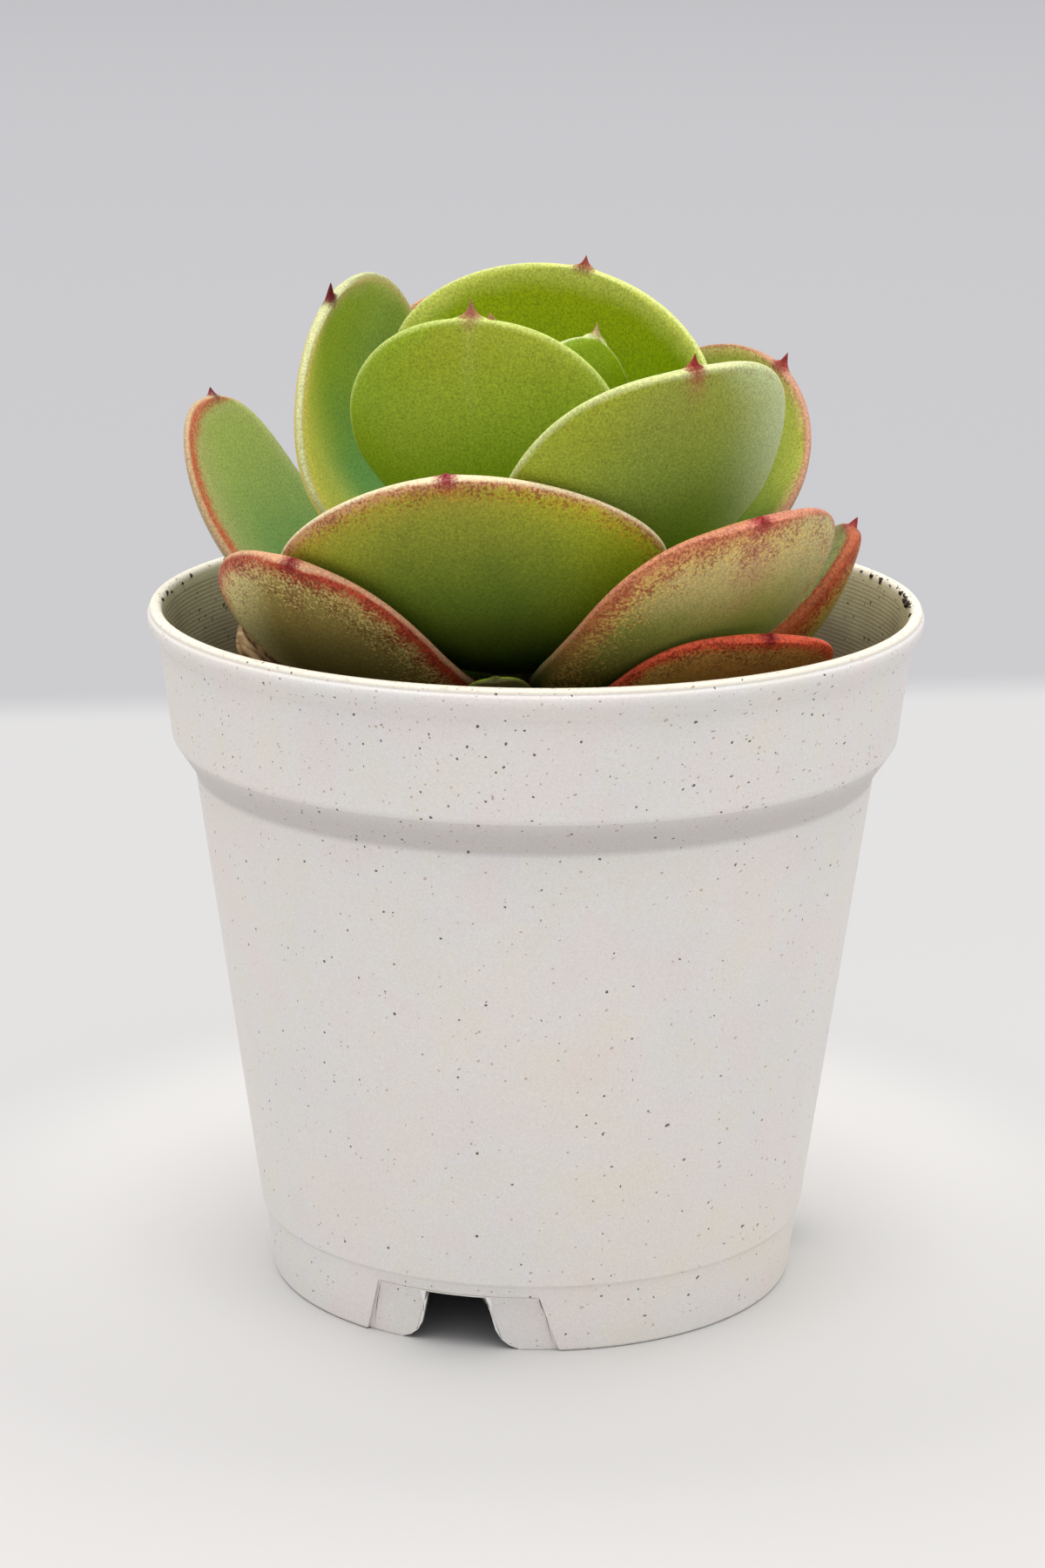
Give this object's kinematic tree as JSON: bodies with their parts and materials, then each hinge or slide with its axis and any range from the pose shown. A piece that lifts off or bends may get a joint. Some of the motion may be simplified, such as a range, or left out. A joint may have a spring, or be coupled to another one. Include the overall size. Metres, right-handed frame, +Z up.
{
  "type": "potted succulent",
  "caption": "Compact rosette succulent with thick, cupped, pointed leaves growing from a short stem in soil, in a small tapered round plastic nursery pot with a stepped collar.",
  "frame": {"origin": "centre of the pot's foot ring, on the surface the pot stands on", "axes": "+Z up, -Y towards the side seen from the front, +X to the right of that view"},
  "size_m": [0.055, 0.055, 0.073],
  "materials": {
    "pot": "moulded, satin, with fine dark specks",
    "soil": "loose, matt, coarse",
    "stem": "smooth, waxy",
    "leaf": "smooth, waxy, red and cream margins",
    "dried_leaf": "dry, wrinkled"
  },
  "bodies": {
    "root": {"pot": "pot", "soil": "soil", "stem": "stem", "bud_1": "leaf", "bud_2": "leaf", "bud_3": "leaf", "bud_4": "leaf", "leaf_01": "leaf", "leaf_02": "leaf", "leaf_03": "leaf", "leaf_04": "leaf", "leaf_05": "leaf", "leaf_06": "leaf", "leaf_07": "leaf", "leaf_08": "leaf", "leaf_09": "leaf", "leaf_10": "leaf", "leaf_11": "leaf", "leaf_12": "leaf", "leaf_13": "leaf", "leaf_14": "leaf", "leaf_15": "leaf", "leaf_16": "leaf", "dried_leaf": "dried_leaf"}
  },
  "joints": []
}
